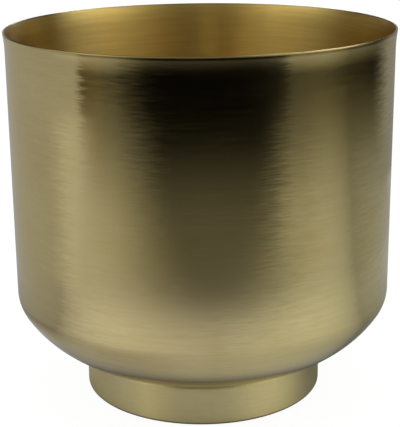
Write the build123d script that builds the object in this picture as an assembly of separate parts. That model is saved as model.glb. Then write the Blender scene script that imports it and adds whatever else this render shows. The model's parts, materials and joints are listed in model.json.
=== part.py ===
from build123d import *
import os
from math import cos, radians, sin, sqrt

# Footed metal cachepot: a spun bowl brazed onto a sheet foot ring that stands on rubber feet.
# Millimetres, +Z up. The origin is on the pot's axis, on the surface that the rubber feet stand on.

# Spun bowl: one sheet, turned over a former
WALL_RADIUS = 98.6  # outer face of the straight wall
POT_HEIGHT = 192.0  # from the foot ring's lower edge to the rim
BOWL_SHEET = 1.0
LIP_RADIUS = 65.0  # curve that turns the lip outward, on the outer face
LIP_TURN = 8.5  # degrees that the lip leans out of the wall
RIM_BREAK = 0.3  # both corners of the trimmed rim edge, filed off so that they don't cut
HEEL_RADIUS = 16.5  # tight curve under the wall, on the outer face
HEEL_TURN = 32.0  # degrees that the tight curve turns before the belly takes over
BELLY_RADIUS = 60.0  # wide curve from the heel to the flat base, on the outer face

# Foot ring: a sheet collar with its lower edge turned in as a flange
FOOT_RADIUS = 63.0  # outer face
FOOT_SHEET = 1.2
FOOT_CLEARANCE = 19.0  # from the ring's lower edge up to the bowl's flat base
FOOT_BEND = 1.8  # outer radius of the bend above the flange
FOOT_FLANGE = 12.0  # from the ring's outer face in to the flange's edge

# Braze: filler run round the inside of the joint between bowl and foot ring
BRAZE_LEG = 3.0  # along the ring's inner face, and in under the bowl

# Rubber feet: round bumpers stuck under the flange
PAD_COUNT = 4
PAD_RADIUS = 4.0
PAD_HEIGHT = 1.2
PAD_BEVEL = 0.4  # slope of the edge that meets the floor
PAD_FIRST_ANGLE = 45.0  # degrees from +X to the first foot

# Heights and radii that follow from the sizes above
QUARTER_TURN = 90.0
FULL_TURN = 360.0
FOOT_Z = PAD_HEIGHT
BASE_Z = FOOT_Z + FOOT_CLEARANCE
RIM_Z = FOOT_Z + POT_HEIGHT
BELLY_CENTRE_Z = BASE_Z + BELLY_RADIUS
HEEL_REACH = HEEL_RADIUS * (1 - cos(radians(HEEL_TURN)))
FLAT_RADIUS = WALL_RADIUS - HEEL_REACH - BELLY_RADIUS * cos(radians(HEEL_TURN))
LIP_RISE = (LIP_RADIUS + BOWL_SHEET) * sin(radians(LIP_TURN))
RIM_BREAK_RISE = RIM_BREAK * (cos(radians(LIP_TURN)) - sin(radians(LIP_TURN)))
LIP_START_Z = RIM_Z - RIM_BREAK_RISE - LIP_RISE
FOOT_INNER_RADIUS = FOOT_RADIUS - FOOT_SHEET
FLANGE_EDGE_RADIUS = FOOT_RADIUS - FOOT_FLANGE
PAD_PITCH_RADIUS = (FOOT_RADIUS - FOOT_BEND + FLANGE_EDGE_RADIUS) / 2


def underside_z(radius):
    """Height of the bowl's outer face, under the flat base or the belly, at a distance from the axis."""
    past_flat = max(0, radius - FLAT_RADIUS)
    return BELLY_CENTRE_Z - sqrt(BELLY_RADIUS**2 - past_flat**2)


def above_joint_z():
    """A height inside the bowl, past the joint, where what meets the bowl ends before it is trimmed."""
    return underside_z(FOOT_RADIUS) + FOOT_SHEET


def turned(edges):
    """Solid turned about the pot's axis from a closed outline in distance from the axis and height."""
    return revolve(Plane.XZ * make_face(edges), Axis.Z)


def bowl_face(inset):
    """One face of the bowl's section, from the axis to the lip, set in from the outer face."""
    base = Line((0, BASE_Z + inset), (FLAT_RADIUS, BASE_Z + inset))
    belly = JernArc(base @ 1, base % 1, BELLY_RADIUS - inset, QUARTER_TURN - HEEL_TURN)
    heel = JernArc(belly @ 1, belly % 1, HEEL_RADIUS - inset, HEEL_TURN)
    wall = Line(heel @ 1, (WALL_RADIUS - inset, LIP_START_Z))
    lip = JernArc(wall @ 1, wall % 1, LIP_RADIUS + inset, -LIP_TURN)
    return [base, belly, heel, wall, lip]


def bowl():
    """The spun sheet: flat base, belly, heel, straight wall and a lip with a trimmed, deburred edge."""
    outer = bowl_face(0)
    inner = bowl_face(BOWL_SHEET)
    outer_end, inner_end = outer[-1] @ 1, inner[-1] @ 1
    along = (outer[-1] % 1) * RIM_BREAK
    across = (inner_end - outer_end).normalized() * RIM_BREAK
    edge = Polyline(outer_end, outer_end + along + across, inner_end + along - across, inner_end)
    centre = Line(inner[0] @ 0, outer[0] @ 0)
    return turned([*outer, edge, *inner, centre])


def bowl_block():
    """Everything inside the bowl's outer face up to its lip, to trim what is fitted under it."""
    outer = bowl_face(0)
    lip_end = outer[-1] @ 1
    mouth = Line(lip_end, (0, lip_end.Y))
    axis = Line(mouth @ 1, outer[0] @ 0)
    return turned([*outer, mouth, axis])


def collar_face(inset):
    """One face of the foot ring's section, from above the joint down and round to the flange's edge."""
    wall_radius = FOOT_RADIUS - inset
    wall = Line((wall_radius, above_joint_z()), (wall_radius, FOOT_Z + FOOT_BEND))
    bend = JernArc(wall @ 1, wall % 1, FOOT_BEND - inset, -QUARTER_TURN)
    flange = Line(bend @ 1, (FLANGE_EDGE_RADIUS, FOOT_Z + inset))
    return [wall, bend, flange]


def foot_ring(block):
    """The collar, with its upper edge cut to the curve of the bowl that sits on it."""
    outer = collar_face(0)
    inner = collar_face(FOOT_SHEET)
    top = Line(outer[0] @ 0, inner[0] @ 0)
    flange_edge = Line(outer[-1] @ 1, inner[-1] @ 1)
    return turned([*outer, flange_edge, *inner, top]) - block


def braze_fillet(block):
    """The filler that fills the corner between the ring's inner face and the bowl's underside."""
    inner_radius = FOOT_INNER_RADIUS - BRAZE_LEG
    top_z = above_joint_z()
    on_ring = (FOOT_INNER_RADIUS, underside_z(FOOT_INNER_RADIUS) - BRAZE_LEG)
    on_bowl = (inner_radius, underside_z(inner_radius))
    corners = [on_ring, on_bowl, (inner_radius, top_z), (FOOT_INNER_RADIUS, top_z)]
    return turned(Polyline(*corners, close=True)) - block


def rubber_foot(angle):
    """One bumper, flat where it is stuck to the flange and bevelled at the floor."""
    pad = Cylinder(PAD_RADIUS, PAD_HEIGHT, align=(Align.CENTER, Align.CENTER, Align.MIN))
    pad = chamfer(pad.edges().sort_by(Axis.Z)[0], PAD_BEVEL)
    return Rot(Z=angle) * Pos(PAD_PITCH_RADIUS, 0, 0) * pad


block = bowl_block()
pieces = {
    "bowl": bowl(),
    "foot_ring": foot_ring(block),
    "braze_fillet": braze_fillet(block),
}
for number in range(PAD_COUNT):
    angle = PAD_FIRST_ANGLE + number * FULL_TURN / PAD_COUNT
    pieces[f"rubber_foot_{number + 1}"] = rubber_foot(angle)

os.makedirs("parts", exist_ok=True)
for name, piece in pieces.items():
    export_step(piece, f"parts/{name}.step")
    size = piece.bounding_box().size
    print(f"{name}: {size.X:.2f} x {size.Y:.2f} x {size.Z:.2f} mm, {piece.volume:.1f} mm3")
print(f"inside: radius {WALL_RADIUS - BOWL_SHEET:.2f} mm up to the lip at {LIP_START_Z:.3f} mm")
print(f"flat base: radius {FLAT_RADIUS:.2f} mm")
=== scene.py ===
# %% [markdown]
# # A brushed brass cachepot
# A cachepot is the pretty outer pot that hides a plant's plastic one. This one is spun from sheet brass,
# brushed round and round on the lathe, and stands on a low foot ring.
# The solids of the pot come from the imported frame, at their real size, in metres, with the pot's axis on +Z.
# They fix every size, so this lesson only reads them, and models the same pieces again with the finer edges
# and finishes that make metal look like metal.

# %% Load the frame
import json
from math import cos, radians, sin, sqrt, tau

import bmesh
import bpy
from mathutils import Matrix, Vector
from mathutils.noise import noise


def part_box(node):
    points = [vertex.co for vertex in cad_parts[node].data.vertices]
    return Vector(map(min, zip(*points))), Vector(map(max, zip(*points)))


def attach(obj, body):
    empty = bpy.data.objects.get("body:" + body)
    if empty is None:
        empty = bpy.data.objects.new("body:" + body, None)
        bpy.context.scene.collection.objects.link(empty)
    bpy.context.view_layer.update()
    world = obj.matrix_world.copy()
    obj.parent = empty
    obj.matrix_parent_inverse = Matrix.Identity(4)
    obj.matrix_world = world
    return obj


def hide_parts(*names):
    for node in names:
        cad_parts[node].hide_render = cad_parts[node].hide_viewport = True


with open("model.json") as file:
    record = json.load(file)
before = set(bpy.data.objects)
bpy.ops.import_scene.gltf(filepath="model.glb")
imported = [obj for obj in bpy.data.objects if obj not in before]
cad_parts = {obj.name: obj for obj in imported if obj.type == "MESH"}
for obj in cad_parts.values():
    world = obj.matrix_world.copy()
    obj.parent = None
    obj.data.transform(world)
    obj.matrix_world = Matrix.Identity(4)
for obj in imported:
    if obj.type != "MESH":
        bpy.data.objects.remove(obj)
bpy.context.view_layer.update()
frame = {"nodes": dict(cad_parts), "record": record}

# %% [markdown]
# ## Read the sizes
# A size that is typed twice will one day differ, so the main sizes are read from the frame: the box of each
# solid and the interfaces that the record states. The bore is the pot's inside radius, and the height of the
# pot's floor over its underside is the thickness of the sheet. What the frame doesn't state, such as the
# radii of the curves, is typed in the cell that first needs it.

# %% Read the sizes
MM = 0.001
mounts = {mount["name"]: mount for mount in frame["record"]["mounts"]}
bowl_low, bowl_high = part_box("bowl")
foot_low, foot_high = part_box("foot_ring")

bowl_sheet = mounts["pot_floor"]["pos_m"][2] - bowl_low.z
wall_radius = mounts["plant_bore"]["dims"]["r_mm"] * MM + bowl_sheet
base_z = bowl_low.z
rim_z = bowl_high.z
foot_radius = foot_high.x
foot_z = foot_low.z
print(f"sheet {bowl_sheet / MM:.2f} mm, wall radius {wall_radius / MM:.2f} mm, rim at {rim_z / MM:.2f} mm")

# %% [markdown]
# ## A pen for sections
# A spun pot is a turned shape: one section, carried round an axis. A section could be typed as a list of
# points, but then nobody could read the radii in it. Here a pen draws it instead: it starts from one vertex,
# pulls it along straight runs with an extrude, and carries it round arcs with a spin.

# %% The pen
ARC_STEP_DEGREES = 2.5
LEAST_ARC_STEPS = 6


def pen_down(bm, radius, height):
    """A first vertex, in the XZ plane, where a section starts."""
    return bm.verts.new((radius, 0, height))


def straight(bm, vert, radius, height, steps=1):
    """Pulls the pen along a straight run, in equal steps, and returns the vertex at its end."""
    start, end = vert.co.copy(), Vector((radius, 0, height))
    for step in range(steps):
        vert = bmesh.ops.extrude_vert_indiv(bm, verts=[vert])["verts"][0]
        vert.co = start.lerp(end, (step + 1) / steps)
    return vert


def arc(bm, vert, centre, degrees):
    """Carries the pen round a centre, counter-clockwise as seen with +X to the right and +Z up."""
    steps = max(LEAST_ARC_STEPS, round(abs(degrees) / ARC_STEP_DEGREES))
    pivot = (centre[0], 0, centre[1])
    made = bmesh.ops.spin(bm, geom=[vert], cent=pivot, axis=(0, -1, 0), angle=radians(degrees), steps=steps)
    return next(item for item in made["geom_last"] if isinstance(item, bmesh.types.BMVert))


print(f"pen: arcs in steps of {ARC_STEP_DEGREES} degrees")

# %% [markdown]
# ## The lathe and the file
# A spin about Z makes the surface. A full spin ends where it began, so it needs use_merge, or the first and
# last sections would lie double. It may also leave faces that look inward, so the doubles are merged first,
# and the normals are worked out after that.
# No edge of a real sheet is perfectly sharp, and only a rounded edge catches light. The file finds the sharp
# edges by the angle between their two faces and bevels them.

# %% The lathe and the file
LATHE_STEPS = 240
TURNED_GAP = 0.001 * MM
SHARP_DEGREES = 60
FILED_GAP = 0.01 * MM


def turn(bm):
    """Spins the drawn section once about the pot's axis, closes the pole and turns the faces outward."""
    section = bm.verts[:] + bm.edges[:]
    bmesh.ops.spin(bm, geom=section, axis=(0, 0, 1), angle=tau, steps=LATHE_STEPS, use_merge=True)
    bmesh.ops.remove_doubles(bm, verts=bm.verts, dist=TURNED_GAP)
    bmesh.ops.dissolve_degenerate(bm, edges=bm.edges, dist=TURNED_GAP)
    bmesh.ops.recalc_face_normals(bm, faces=bm.faces)


def sharp_edges(bm):
    """Edges where two faces meet at a sharp angle."""
    limit = radians(SHARP_DEGREES)
    return [edge for edge in bm.edges if len(edge.link_faces) == 2 and edge.calc_face_angle() > limit]


def soften(bm, edges, size, segments=3):
    """Rounds edges the way a file and a buffing wheel do."""
    bmesh.ops.bevel(
        bm,
        geom=edges,
        offset=size,
        segments=segments,
        profile=0.5,
        affect="EDGES",
        material=-1,
        clamp_overlap=True,
    )
    bmesh.ops.remove_doubles(bm, verts=bm.verts, dist=FILED_GAP)
    bmesh.ops.recalc_face_normals(bm, faces=bm.faces)


print(f"lathe: {LATHE_STEPS} steps round")

# %% [markdown]
# ## From mesh to piece
# A bmesh is only a sketch. It becomes a mesh, and the mesh becomes an object. The object stays at the origin,
# with its place in its vertices, so that a pattern on its own coordinates can't slide. It rides on the pot's
# one body and stands for the solid that it replaces.

# %% A finished piece
def finished_piece(bm, name, material, node_names):
    """Makes the mesh an object at the origin, shades it smooth and lets it stand for its solids."""
    mesh = bpy.data.meshes.new(name)
    bm.to_mesh(mesh)
    bm.free()
    mesh.shade_smooth()
    mesh.materials.append(material)
    piece = bpy.data.objects.new(name, mesh)
    bpy.context.scene.collection.objects.link(piece)
    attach(piece, "root")
    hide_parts(*node_names)
    print(f"{name}: {len(mesh.polygons)} faces, {tuple(round(x / MM, 2) for x in piece.dimensions)} mm")


print(f"{len(frame['nodes'])} solids to model again")

# %% [markdown]
# ## Nodes by name
# A material is a small graph. The editor draws it with wires; in a script a few helpers are enough. The first
# adds any node and fills its sockets with either a plain value or the output of another node. The others name
# the few kinds that this pot needs often: sums and products, ranges, mixes, vectors and noise.

# %% Helpers for numbers and colours
def add_node(tree, kind, sockets=None, **settings):
    """Adds a node; a socket is given by its name or number, with a value or another node's output."""
    node = tree.nodes.new(kind)
    for name, value in settings.items():
        setattr(node, name, value)
    for key, value in (sockets or {}).items():
        if isinstance(value, bpy.types.NodeSocket):
            tree.links.new(value, node.inputs[key])
        else:
            node.inputs[key].default_value = value
    return node


def calculate(tree, operation, *values):
    """One Math node; returns its output."""
    return add_node(tree, "ShaderNodeMath", dict(enumerate(values)), operation=operation).outputs["Value"]


def product(tree, first, *others):
    """The product of several values."""
    for other in others:
        first = calculate(tree, "MULTIPLY", first, other)
    return first


def weighted(tree, a, share, b):
    """A share of one value and the rest of another."""
    return calculate(tree, "MULTIPLY_ADD", a, share, calculate(tree, "MULTIPLY", b, 1.0 - share))


def stretch(tree, value, low, high, new_low, new_high, **settings):
    """Maps a range of a value onto another range and holds it there."""
    sockets = {"Value": value, "From Min": low, "From Max": high, "To Min": new_low, "To Max": new_high}
    return add_node(tree, "ShaderNodeMapRange", sockets, **settings).outputs["Result"]


def smooth_ramp(tree, value, zero_at, one_at):
    """0 at one place, 1 at another, with soft ends."""
    return stretch(tree, value, zero_at, one_at, 0.0, 1.0, interpolation_type="SMOOTHSTEP")


def mixed(tree, factor, a, b):
    """A colour between two others."""
    return add_node(tree, "ShaderNodeMix", {"Factor": factor, "A": a, "B": b}, data_type="RGBA").outputs[2]


def mixed_number(tree, factor, a, b):
    """A number between two others."""
    return add_node(tree, "ShaderNodeMix", {"Factor": factor, "A": a, "B": b}, data_type="FLOAT").outputs[0]


print("helpers for numbers and colours ready")


# %% Helpers for places and materials
def object_place(tree):
    """Where the shaded point lies, in metres from the pot's axis and the table."""
    return add_node(tree, "ShaderNodeTexCoord").outputs["Object"]


def face_normal(tree):
    """Where the shaded face looks."""
    return add_node(tree, "ShaderNodeNewGeometry").outputs["Normal"]


def vector(tree, operation, *values, output="Vector"):
    """One Vector Math node; returns its vector, or its number if the output called Value is asked for."""
    node = add_node(tree, "ShaderNodeVectorMath", dict(enumerate(values)), operation=operation)
    return node.outputs[output]


def scaled(tree, value, amount):
    """A vector made longer or shorter."""
    sockets = {0: value, "Scale": amount}
    return add_node(tree, "ShaderNodeVectorMath", sockets, operation="SCALE").outputs["Vector"]


def upward_part(tree, value):
    """The height of a place, or how far a direction looks up."""
    return add_node(tree, "ShaderNodeSeparateXYZ", {0: value}).outputs["Z"]


def cloud(tree, scale, detail):
    """Plain noise in the object's own space; about 0 to 1."""
    sockets = {"Vector": object_place(tree), "Scale": scale, "Detail": detail}
    return add_node(tree, "ShaderNodeTexNoise", sockets).outputs["Fac"]


def new_material(name):
    """An empty material with a Principled shader; returns the material, its tree and the shader."""
    material = bpy.data.materials.new(name)
    material.use_nodes = True
    tree = material.node_tree
    tree.nodes.clear()
    shader = add_node(tree, "ShaderNodeBsdfPrincipled")
    add_node(tree, "ShaderNodeOutputMaterial", {"Surface": shader.outputs["BSDF"]})
    return material, tree, shader


print("helpers for places and materials ready")

# %% [markdown]
# ## Coordinates that follow the lathe
# The abrasive pad is held still while the pot turns, so every scratch runs round the axis. The pattern
# therefore needs two directions: along the turn, and along the section. Along the turn the place is the unit
# vector from the axis, which comes back to itself after one turn and leaves no seam, as an angle would. Along
# the section it is height plus distance from the axis: one of the two always grows from the middle of the
# base up to the rim.

# %% Turning coordinates
FLAT = (1, 1, 0)
STREAK_ROUGHNESS = 0.6


def from_axis(tree):
    """The level vector from the pot's axis to the shaded point."""
    return vector(tree, "MULTIPLY", object_place(tree), FLAT)


def turning_coordinates(tree, streak_length, streak_width):
    """Object coordinates bent so that one noise cell is a streak of the given length and width."""
    flat = from_axis(tree)
    out = vector(tree, "LENGTH", flat, output="Value")
    around = scaled(tree, vector(tree, "NORMALIZE", flat), wall_radius / streak_length)
    section = calculate(tree, "ADD", out, upward_part(tree, object_place(tree)))
    along = calculate(tree, "DIVIDE", section, streak_width)
    lift = add_node(tree, "ShaderNodeCombineXYZ", {"Z": along}).outputs["Vector"]
    return vector(tree, "ADD", around, lift)


def streaks(tree, length, width, detail):
    """Noise drawn out into streaks; about 0 to 1."""
    where = turning_coordinates(tree, length, width)
    sockets = {"Vector": where, "Scale": 1.0, "Detail": detail, "Roughness": STREAK_ROUGHNESS}
    return add_node(tree, "ShaderNodeTexNoise", sockets).outputs["Fac"]


print(f"one turn of the wall: {tau * wall_radius / MM:.0f} mm")

# %% [markdown]
# ## The inside, the shaded faces and the cut edge
# The pad doesn't reach the inside of the bowl, which stays duller, and its deeper gold is painted shade for
# the hollow. The corner over the foot and the foot's lower bend get painted shade where their faces look down
# at the table. The cut edge of the rim is filed and not brushed, and its darker colour is painted shade as
# well.
# These places could be painted by hand on a map. They are simpler to find by rule: a face inside looks at the
# pot's axis, a shaded face looks down at the table, and the cut edge is the highest millimetre.

# %% The inside, the shaded faces and the cut edge
INSIDE_FULL, INSIDE_NONE = -0.2, 0.3
FILED_NONE, FILED_FULL = rim_z - 1.0 * MM, rim_z - 0.4 * MM


def facing_axis(tree):
    """1 on the faces that look at the pot's axis, which are the inside of the bowl; 0 on the outside."""
    ray = vector(tree, "NORMALIZE", from_axis(tree))
    outward = vector(tree, "DOT_PRODUCT", ray, face_normal(tree), output="Value")
    return stretch(tree, outward, INSIDE_FULL, INSIDE_NONE, 1.0, 0.0)


def shade_facing_table(tree, full_at, none_at):
    """Mask for painted shade: 1 on the faces that look steeply down, 0 on the walls; the limits are heights of
    the unit normal.
    """
    return stretch(tree, upward_part(tree, face_normal(tree)), full_at, none_at, 1.0, 0.0)


def on_cut_edge(tree):
    """1 on the rim's cut edge, 0 below it."""
    return stretch(tree, upward_part(tree, object_place(tree)), FILED_NONE, FILED_FULL, 0.0, 1.0)


print(f"filed edge from {FILED_NONE / MM:.1f} mm up")

# %% [markdown]
# ## Colour and shine of the brass
# Streaks and a slow cloud of tarnish mix a bright and a deep tone. The inside stays duller, and its deeper
# gold is painted shade. The corner over the foot and the foot's lower bend get a browner, darker tone, which
# is painted shade, and so does the filed edge, which is rougher too, so that the rim shows a soft line and not
# a hard one.

# %% Colour and shine of the brass
NOISE_RANGE, WIDE_NOISE_RANGE = (0.35, 0.65), (0.3, 0.7)
TARNISH_SCALE, TARNISH_DETAIL, TARNISH_SHARE = 22.0, 3.0, 0.4
# Painted shade: the corner over the foot and the foot's lower bend turn darker and browner where they face the
# table.
PAINTED_CORNER_SHADE = (0.36, 0.285, 0.125, 1)
# Painted shade: the inside's deeper, darker gold stands in for the shade in the bowl's hollow.
INSIDE_SHADED_BRIGHT, INSIDE_SHADED_DEEP = (0.72, 0.565, 0.228, 1), (0.645, 0.50, 0.20, 1)
# Painted shade: the filed edge is darkened to dim the line of light along the rim.
FILED_EDGE_SHADE = (0.48, 0.385, 0.175, 1)
ROUGHNESS_SPREAD = 0.02
INSIDE_ROUGHNESS = 0.30
FILED_ROUGHNESS = 0.28


def brass_colour(tree, bright, deep, under, grain, long, inside, filed):
    """The tone of the brass, brushed, with painted shade in the corner over the foot, inside and on the filed
    edge.
    """
    tarnish = cloud(tree, TARNISH_SCALE, TARNISH_DETAIL)
    tint = weighted(tree, tarnish, TARNISH_SHARE, grain)
    brushed = mixed(tree, stretch(tree, tint, *NOISE_RANGE, 0.0, 1.0), deep, bright)
    # Painted shade on the faces that look down at the table.
    corner_shaded = mixed(tree, shade_facing_table(tree, *under), brushed, PAINTED_CORNER_SHADE)
    # Painted shade inside the bowl.
    gold = mixed(tree, stretch(tree, long, *NOISE_RANGE, 0.0, 1.0), INSIDE_SHADED_DEEP, INSIDE_SHADED_BRIGHT)
    # Painted shade on the filed edge.
    return mixed(tree, filed, mixed(tree, inside, corner_shaded, gold), FILED_EDGE_SHADE)


def brass_roughness(tree, roughness, grain, inside, filed):
    """Smoother where the pad pressed, rougher inside and on the filed edge."""
    rough, smooth = roughness + ROUGHNESS_SPREAD, roughness - ROUGHNESS_SPREAD
    brushed = stretch(tree, grain, *WIDE_NOISE_RANGE, rough, smooth)
    dulled = mixed_number(tree, inside, brushed, INSIDE_ROUGHNESS)
    return mixed_number(tree, filed, dulled, FILED_ROUGHNESS)


print("inside gold from", INSIDE_SHADED_DEEP[:3], "to", INSIDE_SHADED_BRIGHT[:3])

# %% [markdown]
# ## Grooves
# Each groove tips the surface a little to one side. Seen from a distance, that shifts the reflection in thin
# lines, and the edges of the bands look combed. A bump map alone would do this only across the streaks, so
# the normal is tipped along the turn first, and a shallow bump is laid over it. The comb is weak inside and
# ends below the rim.

# %% Grooves
COMB_NOISE_RANGE, COMB_FINE_SHARE = (0.25, 0.75), 0.75
COMB_FULL, COMB_END = rim_z - 4 * MM, rim_z - 1 * MM
COMB_INSIDE_AT, COMB_INSIDE_SHARE = 0.5, 0.12
GROOVE_STRENGTH, GROOVE_DEPTH = 0.2, 0.008 * MM


def brass_grooves(tree, tangent, comb, fine, long, inside):
    """The normal of the brushed surface."""
    height = upward_part(tree, object_place(tree))
    below_rim = stretch(tree, height, COMB_FULL, COMB_END, 1.0, 0.0)
    outside = stretch(tree, inside, 0.0, COMB_INSIDE_AT, 1.0, COMB_INSIDE_SHARE)
    scratch = weighted(tree, fine, COMB_FINE_SHARE, long)
    lean = stretch(tree, scratch, *COMB_NOISE_RANGE, -comb, comb)
    tip = scaled(tree, tangent, product(tree, lean, below_rim, outside))
    tipped = vector(tree, "NORMALIZE", vector(tree, "ADD", face_normal(tree), tip))
    groove = product(tree, below_rim, GROOVE_STRENGTH)
    sockets = {"Strength": groove, "Distance": GROOVE_DEPTH, "Height": fine, "Normal": tipped}
    return add_node(tree, "ShaderNodeBump", sockets).outputs["Normal"]


print(f"comb ends {(rim_z - COMB_END) / MM:.1f} mm below the rim")

# %% [markdown]
# ## Brushed brass
# Brushing leaves thousands of fine grooves side by side. Along a groove the metal is nearly a mirror; across
# it, it is rough. So a reflection stays sharp from left to right and is smeared up and down, which is why the
# pot shows crisp vertical bands. The Principled shader has this built in as Anisotropic: the tangent runs
# round the axis, and a quarter turn of rotation lays the smear across it.
# The bowl and the foot get the same brass with other values: the foot is more satin. Its limits for the
# painted shade are those of its bend, and the bowl's are those of its belly.

# %% Brushed brass
FINE_STREAK = (8 * MM, 0.6 * MM, 2.0)
LONG_STREAK = (30 * MM, 1.8 * MM, 3.0)
GRAIN_FINE_SHARE = 0.5
ANISOTROPY, QUARTER_TURN = 0.95, 0.25
BRASS_BRIGHT, BRASS_DEEP = (0.80, 0.67, 0.36, 1), (0.69, 0.565, 0.275, 1)
SATIN_BRIGHT, SATIN_DEEP = (0.95, 0.82, 0.46, 1), (0.87, 0.74, 0.38, 1)
# Limits of the painted shade, as heights of the unit normal: the belly's corner and the foot's bend.
BELLY_SHADE_LIMITS, BEND_SHADE_LIMITS = (-0.85, -0.58), (-0.40, 0.0)


def brushed_brass(name, bright, deep, under, roughness, comb):
    """Brass brushed round the pot's axis."""
    material, tree, shader = new_material(name)
    fine, long = streaks(tree, *FINE_STREAK), streaks(tree, *LONG_STREAK)
    grain = weighted(tree, fine, GRAIN_FINE_SHARE, long)
    inside, filed = facing_axis(tree), on_cut_edge(tree)
    tangent = add_node(tree, "ShaderNodeTangent", direction_type="RADIAL", axis="Z").outputs["Tangent"]

    colour = brass_colour(tree, bright, deep, under, grain, long, inside, filed)
    tree.links.new(colour, shader.inputs["Base Color"])
    tree.links.new(brass_roughness(tree, roughness, grain, inside, filed), shader.inputs["Roughness"])
    tree.links.new(brass_grooves(tree, tangent, comb, fine, long, inside), shader.inputs["Normal"])
    tree.links.new(tangent, shader.inputs["Tangent"])
    shader.inputs["Metallic"].default_value = 1.0
    shader.inputs["Anisotropic"].default_value = ANISOTROPY
    shader.inputs["Anisotropic Rotation"].default_value = QUARTER_TURN
    print(f"{name}: {len(tree.nodes)} nodes")
    return material


brass = brushed_brass("brushed_brass", BRASS_BRIGHT, BRASS_DEEP, BELLY_SHADE_LIMITS, roughness=0.09, comb=0.05)
satin_brass = brushed_brass("satin_brass", SATIN_BRIGHT, SATIN_DEEP, BEND_SHADE_LIMITS, roughness=0.36, comb=0.03)

# %% [markdown]
# ## The bowl
# The real bowl is a flat disc of sheet, pressed over a wooden former on a lathe until it hugs it. That gives
# the shape its rules: flat base, a wide belly curve, a tighter heel, a straight wall, and a lip that leans
# out, all in one even thickness. The section below draws the outer face only, and solidify gives the wall its
# thickness inward. The lip ends in a cut edge that is filed so that it doesn't scratch: a bevel of three
# tenths of a millimetre, which catches a thin line of light.

# %% The bowl's section
BELLY_RADIUS = 60 * MM
HEEL_RADIUS = 16.5 * MM
HEEL_TURN = 32
LIP_RADIUS = 65 * MM
LIP_TURN = 8.5
RIM_BREAK = 0.3 * MM

centre_shift = (BELLY_RADIUS - HEEL_RADIUS) * Vector((cos(radians(HEEL_TURN)), sin(radians(HEEL_TURN))))
flat_radius = wall_radius - HEEL_RADIUS - centre_shift.x
belly_centre = (flat_radius, base_z + BELLY_RADIUS)
heel_centre = (flat_radius + centre_shift.x, belly_centre[1] - centre_shift.y)
lip_slope = Vector((sin(radians(LIP_TURN)), cos(radians(LIP_TURN))))
lip_start_z = rim_z - (LIP_RADIUS + bowl_sheet) * lip_slope.x - RIM_BREAK * (lip_slope.y - lip_slope.x)
lip_centre = (wall_radius + LIP_RADIUS, lip_start_z)


def underside_z(radius):
    """Height of the bowl's outer face at a distance from the axis, under the flat base or the belly."""
    past_flat = max(0.0, radius - flat_radius)
    return belly_centre[1] - sqrt(BELLY_RADIUS**2 - past_flat**2)


print(f"flat base to {flat_radius / MM:.2f} mm, lip from {lip_start_z / MM:.2f} mm up")

# %% The bowl
BASE_RINGS = 6
WALL_RINGS = 24


def bowl():
    """Draws the outer face from the middle of the base to the rim, turns it and gives it its thickness."""
    bm = bmesh.new()
    vert = pen_down(bm, 0, base_z)
    vert = straight(bm, vert, flat_radius, base_z, BASE_RINGS)
    vert = arc(bm, vert, belly_centre, 90 - HEEL_TURN)
    vert = arc(bm, vert, heel_centre, HEEL_TURN)
    vert = straight(bm, vert, wall_radius, lip_start_z, WALL_RINGS)
    vert = arc(bm, vert, lip_centre, -LIP_TURN)
    straight(bm, vert, vert.co.x + RIM_BREAK * lip_slope.x, vert.co.z + RIM_BREAK * lip_slope.y)
    turn(bm)
    bmesh.ops.solidify(bm, geom=bm.faces[:], thickness=bowl_sheet)
    soften(bm, sharp_edges(bm), RIM_BREAK)
    finished_piece(bm, "spun_bowl", brass, ["bowl"])


bowl()

# %% [markdown]
# ## The foot ring
# The foot is a collar of slightly thicker sheet. Its lower edge is turned in as a flange, which stiffens it
# and gives the rubber feet something to stick to. Its upper edge is cut to the belly that sits on it.
# It is drawn the same way: down the outer face, round the bend, and in along the flange. It was finished by
# itself, before it was brazed on, so it has the satin brass.

# %% The foot ring
FOOT_SHEET = 1.2 * MM
FOOT_BEND = 1.8 * MM
FOOT_FLANGE = 12 * MM
FOOT_BREAK = 0.25 * MM
TOP_EDGE_DEPTH = 0.1 * MM
COLLAR_RINGS = 8

foot_inner_radius = foot_radius - FOOT_SHEET
joint_z = underside_z(foot_radius)


def foot():
    """Draws the collar from the joint down, turns it, and cuts its inner top edge to the belly."""
    bm = bmesh.new()
    bend_top = foot_z + FOOT_BEND
    vert = pen_down(bm, foot_radius, joint_z)
    vert = straight(bm, vert, foot_radius, bend_top, COLLAR_RINGS)
    vert = arc(bm, vert, (foot_radius - FOOT_BEND, bend_top), -90)
    straight(bm, vert, foot_radius - FOOT_FLANGE, foot_z)
    turn(bm)
    bmesh.ops.solidify(bm, geom=bm.faces[:], thickness=FOOT_SHEET)
    top = [v for v in bm.verts if v.co.z > joint_z - TOP_EDGE_DEPTH]
    inner_top = [v for v in top if v.co.xy.length < foot_radius - FOOT_SHEET / 2]
    bmesh.ops.translate(bm, verts=inner_top, vec=(0, 0, underside_z(foot_inner_radius) - joint_z))
    flange_edges = [e for e in sharp_edges(bm) if e.verts[0].co.z < foot_z + 2 * FOOT_SHEET]
    soften(bm, flange_edges, FOOT_BREAK)
    finished_piece(bm, "foot_collar", satin_brass, ["foot_ring"])


foot()

# %% [markdown]
# ## The braze bead
# Bowl and foot are held together by brass filler, melted into the corner inside the foot, where it doesn't
# show from above. It runs as a bead with slow waves where the torch paused. A plain ring would look machined,
# so the bead is turned with a plain face first, and its face is then pushed up and down by a smooth noise.

# %% Braze metal
BRAZE_DARK, BRAZE_LIGHT = (0.30, 0.22, 0.11, 1), (0.58, 0.46, 0.24, 1)
BRAZE_ROUGHNESS = (0.36, 0.58)
STAIN_SCALE, STAIN_DETAIL = 90.0, 2.0
LUMP_SCALE, LUMP_DETAIL, LUMP_STRENGTH, LUMP_DEPTH = 420.0, 4.0, 0.5, 0.15 * MM


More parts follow.
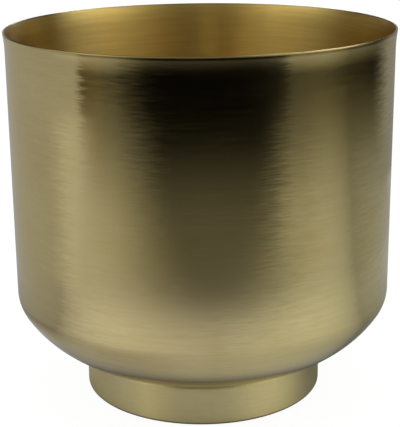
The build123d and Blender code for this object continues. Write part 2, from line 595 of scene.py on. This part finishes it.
def braze_metal():
    """Duller, pinkish brass that has run and been scrubbed with a wire brush."""
    material, tree, shader = new_material("braze_metal")
    lumps = cloud(tree, LUMP_SCALE, LUMP_DETAIL)
    stain = stretch(tree, cloud(tree, STAIN_SCALE, STAIN_DETAIL), *NOISE_RANGE, 0.0, 1.0)
    tree.links.new(mixed(tree, stain, BRAZE_DARK, BRAZE_LIGHT), shader.inputs["Base Color"])
    tree.links.new(stretch(tree, lumps, *WIDE_NOISE_RANGE, *BRAZE_ROUGHNESS), shader.inputs["Roughness"])
    sockets = {"Strength": LUMP_STRENGTH, "Distance": LUMP_DEPTH, "Height": lumps}
    tree.links.new(add_node(tree, "ShaderNodeBump", sockets).outputs["Normal"], shader.inputs["Normal"])
    shader.inputs["Metallic"].default_value = 1.0
    print(f"braze_metal: {len(tree.nodes)} nodes")
    return material


filler = braze_metal()

# %% The braze bead
BRAZE_LEG = 3 * MM
BRAZE_FACE_STEPS, BRAZE_TOP_STEPS = 5, 4
BRAZE_WAVE, BRAZE_WAVE_LENGTH, BRAZE_STILL_DEPTH = 0.25 * MM, 7 * MM, 1 * MM


def braze():
    """Draws the bead's face and its seat under the belly, turns them and makes waves in the face."""
    bm = bmesh.new()
    inner_radius = foot_inner_radius - BRAZE_LEG
    start = pen_down(bm, foot_inner_radius, underside_z(foot_inner_radius) - BRAZE_LEG)
    vert = straight(bm, start, inner_radius, underside_z(inner_radius), BRAZE_FACE_STEPS)
    for step in range(BRAZE_TOP_STEPS):
        radius = inner_radius + BRAZE_LEG * (step + 1) / BRAZE_TOP_STEPS
        vert = straight(bm, vert, radius, underside_z(radius))
    bm.edges.new((vert, start))
    turn(bm)
    for v in bm.verts:
        radius = v.co.xy.length
        depth = min(foot_inner_radius - radius, underside_z(radius) - v.co.z)
        freedom = max(0.0, min(1.0, depth / BRAZE_STILL_DEPTH))
        v.co.z += noise(v.co / BRAZE_WAVE_LENGTH) * BRAZE_WAVE * freedom
    finished_piece(bm, "braze_bead", filler, ["braze_fillet"])


braze()

# %% [markdown]
# ## The rubber feet
# Four small self-adhesive bumpers keep the flange off the furniture. They are moulded, so the edge that
# stands on the table is round, and the rubber is matt with a fine bloom. A bumper is a short cylinder with
# one edge bevelled; the four places are the middles of the boxes of the four solids.

# %% Bumper rubber
RUBBER_BLACK, RUBBER_BLOOM = (0.018, 0.018, 0.019, 1), (0.05, 0.049, 0.047, 1)
RUBBER_ROUGHNESS = (0.62, 0.82)
BLOOM_SCALE, BLOOM_DETAIL, BLOOM_RANGE = 300.0, 3.0, (0.35, 0.7)
GRAIN_SCALE, GRAIN_DETAIL, GRAIN_STRENGTH, GRAIN_DEPTH = 2600.0, 2.0, 0.3, 0.05 * MM


def bumper_rubber():
    """Matt black moulded rubber, a little grey where it is handled."""
    material, tree, shader = new_material("bumper_rubber")
    grain = cloud(tree, GRAIN_SCALE, GRAIN_DETAIL)
    bloom = stretch(tree, cloud(tree, BLOOM_SCALE, BLOOM_DETAIL), *BLOOM_RANGE, 0.0, 1.0)
    tree.links.new(mixed(tree, bloom, RUBBER_BLACK, RUBBER_BLOOM), shader.inputs["Base Color"])
    tree.links.new(stretch(tree, grain, *WIDE_NOISE_RANGE, *RUBBER_ROUGHNESS), shader.inputs["Roughness"])
    sockets = {"Strength": GRAIN_STRENGTH, "Distance": GRAIN_DEPTH, "Height": grain}
    tree.links.new(add_node(tree, "ShaderNodeBump", sockets).outputs["Normal"], shader.inputs["Normal"])
    print(f"bumper_rubber: {len(tree.nodes)} nodes")
    return material


rubber = bumper_rubber()

# %% The rubber feet
BUMPER_ROUND, BUMPER_ROUND_STEPS = 0.45 * MM, 5
BUMPER_SIDES = 48


def rubber_foot(node_name):
    """One bumper, as large as its solid and in its place."""
    low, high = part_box(node_name)
    centre = (low + high) / 2
    bm = bmesh.new()
    bmesh.ops.create_cone(
        bm,
        cap_ends=True,
        segments=BUMPER_SIDES,
        radius1=(high.x - low.x) / 2,
        radius2=(high.x - low.x) / 2,
        depth=high.z - low.z,
        matrix=Matrix.Translation(centre),
    )
    lower_edges = [e for e in sharp_edges(bm) if e.verts[0].co.z < centre.z]
    soften(bm, lower_edges, BUMPER_ROUND, BUMPER_ROUND_STEPS)
    finished_piece(bm, node_name.replace("foot", "bumper"), rubber, [node_name])


for name in sorted(frame["nodes"]):
    if name.startswith("rubber_foot"):
        rubber_foot(name)

# %% [markdown]
# ## The camera
# The photograph looks down on the pot by about 17 degrees from some 60 cm away. Height, distance and tilt are
# worked out from the ellipses of rim and foot; the lens follows from how large the pot is in the picture.
# A slight roll of about half a degree makes the rim lean as it does there.

# %% The camera
CAMERA_DISTANCE = 0.60387
CAMERA_HEIGHT = 0.27443
CAMERA_PITCH = 16.655
CAMERA_YAW = -0.0908
CAMERA_ROLL = 0.6
LENS, SENSOR_WIDTH = 99.97, 36

camera_data = bpy.data.cameras.new("photo_camera")
camera_data.lens = LENS
camera_data.sensor_width = SENSOR_WIDTH
camera = bpy.data.objects.new("photo_camera", camera_data)
bpy.context.scene.collection.objects.link(camera)
camera.matrix_world = (
    Matrix.Translation((0, -CAMERA_DISTANCE, CAMERA_HEIGHT))
    @ Matrix.Rotation(radians(-CAMERA_YAW), 4, "Z")
    @ Matrix.Rotation(radians(90 - CAMERA_PITCH), 4, "X")
    @ Matrix.Rotation(radians(-CAMERA_ROLL), 4, "Z")
)
bpy.context.scene.camera = camera
print("camera at", tuple(round(x, 3) for x in camera.location))

# %% [markdown]
# ## The studio
# Metal has no colour of its own in a photograph: it shows what stands around it. So the studio is built
# before the light is judged. It needs two shapes, a flat panel and a card bent round the pot, and materials
# that give light. In Blender, ray visibility says who sees a thing: some pieces here are for the camera, and
# the others are only for the pot's gloss.

# %% Stage helpers
def glowing(name, colour, strength):
    """A material that only gives light; returns the material, its tree, the light and the output."""
    material = bpy.data.materials.new(name)
    material.use_nodes = True
    tree = material.node_tree
    tree.nodes.clear()
    light = add_node(tree, "ShaderNodeEmission", {"Color": colour, "Strength": strength})
    output = add_node(tree, "ShaderNodeOutputMaterial", {"Surface": light.outputs["Emission"]})
    return material, tree, light, output


def stage_piece(bm, name, material, for_camera):
    """A floor or a card, not part of the pot: either the camera sees it, or the pot's gloss does."""
    mesh = bpy.data.meshes.new(name)
    bm.to_mesh(mesh)
    bm.free()
    mesh.materials.append(material)
    piece = bpy.data.objects.new(name, mesh)
    bpy.context.scene.collection.objects.link(piece)
    piece.visible_camera = for_camera
    piece.visible_diffuse = for_camera
    piece.visible_shadow = for_camera
    piece.visible_transmission = for_camera
    piece.visible_glossy = not for_camera
    print(f"stage: {name}, {tuple(round(x, 2) for x in piece.dimensions)} m")


def panel(half_width, height):
    """A flat square, level over the middle of the floor."""
    bm = bmesh.new()
    bmesh.ops.create_grid(bm, x_segments=1, y_segments=1, size=half_width)
    bmesh.ops.translate(bm, verts=bm.verts, vec=(0, 0, height))
    return bm


print("stage helpers ready")

# %% [markdown]
# ## The floor
# The floor that the camera sees is white, lit from below like a light table, so only a faint shadow is left
# on it. A lit grey floor could be made as bright, but it would show a stronger shadow. The floor has no gloss
# of its own, so that it stays plain.

# %% The floor
FLOOR_HALF = 20
FLOOR_GREY, FLOOR_GLOW = (0.08, 0.08, 0.08, 1), 0.95
WHITE = (1, 1, 1, 1)


def light_table():
    """A matt white floor that shines by itself."""
    material, _, shader = new_material("light_table")
    shader.inputs["Base Color"].default_value = FLOOR_GREY
    shader.inputs["Roughness"].default_value = 1.0
    shader.inputs["Specular IOR Level"].default_value = 0.0
    shader.inputs["Emission Color"].default_value = WHITE
    shader.inputs["Emission Strength"].default_value = FLOOR_GLOW
    return material


stage_piece(panel(FLOOR_HALF, 0), "floor", light_table(), True)

# %% [markdown]
# ## The table that the wall mirrors
# The camera looks down, so the wall mirrors the table and not the room: each height on the wall shows one
# distance on the table, and each place across the pot shows one direction. The wall in the photograph is
# bright at both sides, black at the top middle and olive below. Read as a table, that is a pool of lamp light
# with a dark wedge towards the camera, a faint middle, and a bright apron close to the pot. A brown strip of
# light stands on the left, beside the wedge.
# The numbers say how bright each of these is, where it begins and where it is full. A reach is a distance
# from the pot's axis in metres, and east is the sine of a direction, from -1 on the left to 1 on the right.
# East is measured on a table turned a little, because the wedge doesn't point straight at the camera.

# %% Light on the table
WEDGE_OPENING, WEDGE_RANGE = 1.2, (-0.875, 0.314)
POOL_LIGHT, POOL_EDGE = 3.60, 1.254
MIDDLE_LIGHT, MIDDLE_REACH = 0.113, (0.792, 0.428)
APRON_LIGHT, APRON_REACH = 0.44, (0.33, 0.236)
STRIP_LIGHT, STRIP_REACH = 0.042, (0.45, 0.75)


def dark_wedge(tree, across, towards):
    """1 deep in the wedge towards the camera, 0 at its sides."""
    spread = product(tree, calculate(tree, "ABSOLUTE", across), WEDGE_OPENING)
    return smooth_ramp(tree, calculate(tree, "SUBTRACT", towards, spread), *WEDGE_RANGE)


def table_light(tree, reach, wedge, strip):
    """The light of the lamps, before anything shades it."""
    fall = stretch(tree, reach, 0.0, POOL_EDGE, 1.0, 0.0)
    beside_wedge = calculate(tree, "SUBTRACT", 1.0, wedge)
    pool = product(tree, calculate(tree, "POWER", fall, 2.0), POOL_LIGHT, beside_wedge)
    level = calculate(tree, "MULTIPLY_ADD", smooth_ramp(tree, reach, *MIDDLE_REACH), MIDDLE_LIGHT, pool)
    level = calculate(tree, "MULTIPLY_ADD", smooth_ramp(tree, reach, *APRON_REACH), APRON_LIGHT, level)
    far_strip = product(tree, strip, smooth_ramp(tree, reach, *STRIP_REACH))
    return calculate(tree, "MULTIPLY_ADD", far_strip, STRIP_LIGHT, level)


print(f"lamp pool: {POOL_EDGE} m to its edge")

# %% [markdown]
# ## Shade on the table
# A pot on a table takes light away from it. The table is dimmer beside and behind the pot, and darkest at the
# foot and under it, where little light comes in. On the left, close to the pot, it is dimmer at the side and
# less dim behind. On the right there is a lighter stripe beside the wedge. Each of these is a share that the
# light is multiplied by.

# %% Shade on the table
STRIPE_GAIN, STRIPE_REACH = 1.22, (0.38, 0.48)
STRIPE_RISE, STRIPE_FALL = (0.54, 0.60), (0.80, 0.66)
BEHIND_SHARE, BEHIND_FROM = 0.215, 0.114
BEHIND_LEFT_SHARE, BEHIND_LEFT_EAST, BEHIND_LEFT_REACH = 0.60, (0.3, -0.3), (0.17, 0.10)
NEAR_LEFT_SHARE, NEAR_LEFT_EAST, NEAR_LEFT_REACH = 0.72, (0.0, -0.75), (0.20, 0.11)
CONTACT_SHARE, CONTACT_REACH = 0.464, (0.076, 0.30)
UNDER_SHARE, UNDER_REACH = 0.36, (0.060, 0.078)


def zone(tree, east, east_range, reach, reach_range):
    """1 in one part of the table, 0 outside it."""
    return product(tree, smooth_ramp(tree, east, *east_range), smooth_ramp(tree, reach, *reach_range))


def table_shade(tree, reach, east, towards):
    """The share of the light that is left at each place."""
    stripe_start = zone(tree, east, STRIPE_RISE, reach, STRIPE_REACH)
    stripe = product(tree, stripe_start, smooth_ramp(tree, east, *STRIPE_FALL))
    behind_left = zone(tree, east, BEHIND_LEFT_EAST, reach, BEHIND_LEFT_REACH)
    behind_share = stretch(tree, behind_left, 0.0, 1.0, BEHIND_SHARE, BEHIND_LEFT_SHARE)
    south = calculate(tree, "DIVIDE", towards, reach)
    near_left = zone(tree, east, NEAR_LEFT_EAST, reach, NEAR_LEFT_REACH)
    return product(
        tree,
        stretch(tree, stripe, 0.0, 1.0, 1.0, STRIPE_GAIN),
        stretch(tree, south, BEHIND_FROM, 1.0, behind_share, 1.0),
        stretch(tree, reach, *CONTACT_REACH, CONTACT_SHARE, 1.0),
        stretch(tree, near_left, 0.0, 1.0, 1.0, NEAR_LEFT_SHARE),
        stretch(tree, reach, *UNDER_REACH, UNDER_SHARE, 1.0),
    )


print(f"behind the pot {BEHIND_SHARE:.1%} of the light is left")

# %% [markdown]
# ## Tint of the table
# Lamp light isn't one colour. Close to the pot it is nearly white, a trace greener on the right; far away it
# is warm, in the strip almost brown, and in the wedge a pale yellow. These tints give the bands their tones.

# %% Tint of the table
NEAR_RIGHT_TINT, NEAR_TINT_EAST = (1.0, 1.04, 1.0, 1), (-0.3, 0.6)
FAR_TINT, STRIP_TINT, FAR_TINT_REACH = (1.0, 0.96, 0.65, 1), (1.0, 0.80, 0.42, 1), (0.45, 0.95)
WEDGE_TINT, WEDGE_TINT_REACH = (1.0, 0.98, 0.80, 1), (0.28, 0.40)


def table_tint(tree, reach, east, wedge, strip):
    """The colour of the light at each place."""
    near = mixed(tree, smooth_ramp(tree, east, *NEAR_TINT_EAST), WHITE, NEAR_RIGHT_TINT)
    far = mixed(tree, strip, FAR_TINT, STRIP_TINT)
    tint = mixed(tree, smooth_ramp(tree, reach, *FAR_TINT_REACH), near, far)
    in_wedge = product(tree, wedge, smooth_ramp(tree, reach, *WEDGE_TINT_REACH))
    return mixed(tree, in_wedge, tint, WEDGE_TINT)


print("far light", FAR_TINT[:3], "and in the strip", STRIP_TINT[:3])

# %% [markdown]
# ## Lay the table
# The light times its shade is the strength of the glow, and the tint is its colour. This table lies where the
# floor is. The camera doesn't see it: only the pot's gloss does.

# %% Lay the table
TABLE_HALF = 1.5
WEDGE_TURN = 5.5
STRIP_EAST = (-0.85, -0.875)


def turned_sides(tree, degrees):
    """Across, towards the camera and up, after a turn about the pot's axis."""
    sockets = {"Vector": object_place(tree), "Angle": radians(-degrees)}
    turned = add_node(tree, "ShaderNodeVectorRotate", sockets, rotation_type="Z_AXIS").outputs["Vector"]
    sides = add_node(tree, "ShaderNodeSeparateXYZ", {0: turned}).outputs
    return sides["X"], calculate(tree, "MULTIPLY", sides["Y"], -1.0), sides["Z"]


def lamp_pool():
    """The table as the pot's gloss sees it."""
    material, tree, light, _ = glowing("lamp_pool", WHITE, 1.0)
    reach = vector(tree, "LENGTH", object_place(tree), output="Value")
    across, towards, _ = turned_sides(tree, WEDGE_TURN)
    east = calculate(tree, "DIVIDE", across, reach)
    wedge = dark_wedge(tree, across, towards)
    strip = smooth_ramp(tree, east, *STRIP_EAST)
    lit = table_light(tree, reach, wedge, strip)
    tree.links.new(product(tree, lit, table_shade(tree, reach, east, towards)), light.inputs["Strength"])
    tree.links.new(table_tint(tree, reach, east, wedge, strip), light.inputs["Color"])
    return material


stage_piece(panel(TABLE_HALF, 0), "table_top", lamp_pool(), False)

# %% [markdown]
# ## Cards that fade
# What the table doesn't give comes from cards. The edge of a real card is never sharp in brushed metal, and a
# bent card would show its end as a line, so these fade out at their ends. The fade could be an image; it is a
# ramp over the angle round the pot, which mixes the light with a clear shader.

# %% Cards that fade
CARD_STEPS = 24


def curved_card(from_degrees, to_degrees, radius, low, high):
    """A card bent round the pot. Degrees count from the camera's side, positive to its right."""
    bm = bmesh.new()
    a = bm.verts.new((radius * sin(radians(from_degrees)), -radius * cos(radians(from_degrees)), low))
    b = bm.verts.new((a.co.x, a.co.y, high))
    edge = bm.edges.new((a, b))
    angle = radians(to_degrees - from_degrees)
    bmesh.ops.spin(bm, geom=[a, b, edge], axis=(0, 0, 1), angle=angle, steps=CARD_STEPS)
    return bm


def fading_card(name, ends, fades, radius, low, high, colour, strength, low_fade=0.0, most_cover=1.0):
    """A card bent round the pot whose ends, and lower edge if wanted, fade from clear to full."""
    material, tree, light, output = glowing(name, colour, strength)
    middle, half = (ends[0] + ends[1]) / 2, (ends[1] - ends[0]) / 2
    across, towards, up = turned_sides(tree, middle)
    angle = calculate(tree, "DEGREES", calculate(tree, "ARCTAN2", across, towards))
    first = smooth_ramp(tree, angle, -half, fades[0] - half)
    last = smooth_ramp(tree, angle, half, half - fades[1])
    cover = product(tree, first, last, most_cover)
    if low_fade:
        cover = product(tree, cover, smooth_ramp(tree, up, low, low + low_fade))
    clear = add_node(tree, "ShaderNodeBsdfTransparent").outputs["BSDF"]
    mix = add_node(tree, "ShaderNodeMixShader", {"Fac": cover, 1: clear, 2: light.outputs["Emission"]})
    tree.links.new(mix.outputs["Shader"], output.inputs["Surface"])
    stage_piece(curved_card(*ends, radius, low, high), name, material, False)


print(f"cards bent in {CARD_STEPS} steps")

# %% [markdown]
# ## Cards and softboxes
# A long card close by on the left, with a lamp's glow on it, and one behind on the right lift the two edges
# of the pot. A black flag before the pot takes light away: it keeps the top middle of the wall black, and the
# lip above it. Two softboxes above the table, a weak fill in front and a ceiling shine into the mouth. A high
# window on the right and a small one far behind put glints on the rim.
# Each line below gives a card's two ends and their fades in degrees, its radius, lower and upper edge in
# metres, its colour and its strength.

# %% Cards and softboxes
BLACK = (0, 0, 0, 1)
SOFT_WHITE, WARM = (1.0, 1.0, 0.95, 1), (1.0, 0.93, 0.68, 1)
FLAG_LOW_FADE, FLAG_COVER = 0.023, 0.76
CEILING_HALF, CEILING_HEIGHT, CEILING_LIGHT = 1.0, 1.3, 0.38

fading_card("left_reflector", (-184, -57), (13, 7), 0.30, 0.0, 0.25, SOFT_WHITE, 0.38)
fading_card("left_lamp_glow", (-86, -48), (19, 19), 0.29, 0.0, 0.12, SOFT_WHITE, 0.52)
fading_card("black_flag", (-40, 40), (19, 7), 0.20, 0.133, 0.195, BLACK, 0.0, FLAG_LOW_FADE, FLAG_COVER)
fading_card("front_fill", (-60, 60), (40, 40), 0.95, 0.25, 0.95, WARM, 0.34)
fading_card("back_reflector", (106, 190), (26, 26), 0.50, 0.0, 0.34, SOFT_WHITE, 0.26)
fading_card("left_softbox", (-125, -15), (50, 50), 0.90, 0.12, 1.00, WARM, 1.5)
fading_card("right_softbox", (15, 119), (50, 50), 0.90, 0.12, 1.00, WARM, 1.36)
fading_card("rim_window", (80, 130), (15, 15), 0.90, 0.75, 1.60, SOFT_WHITE, 4.0)
fading_card("far_window", (162, 177), (4, 4), 0.90, 0.45, 0.66, SOFT_WHITE, 7.0)
ceiling_glow = glowing("ceiling", WARM, CEILING_LIGHT)[0]
stage_piece(panel(CEILING_HALF, CEILING_HEIGHT), "ceiling", ceiling_glow, False)

# %% [markdown]
# ## The room light
# A world that glows evenly lights the floor without hard shadows. The pot would reflect it as well, so the
# world is dark to glossy rays and light to all others. The Standard view shows the colours as they are worked
# out.

# %% The room light
world = bpy.data.worlds.new("studio_room")
world.use_nodes = True
room_tree = world.node_tree
room_tree.nodes.clear()
gloss_ray = add_node(room_tree, "ShaderNodeLightPath").outputs["Is Glossy Ray"]
room_colour = mixed(room_tree, gloss_ray, WHITE, BLACK)
room = add_node(room_tree, "ShaderNodeBackground", {"Color": room_colour, "Strength": 1.0})
add_node(room_tree, "ShaderNodeOutputWorld", {"Surface": room.outputs["Background"]})
bpy.context.scene.world = world
bpy.context.scene.view_settings.view_transform = "Standard"
print("room light set")
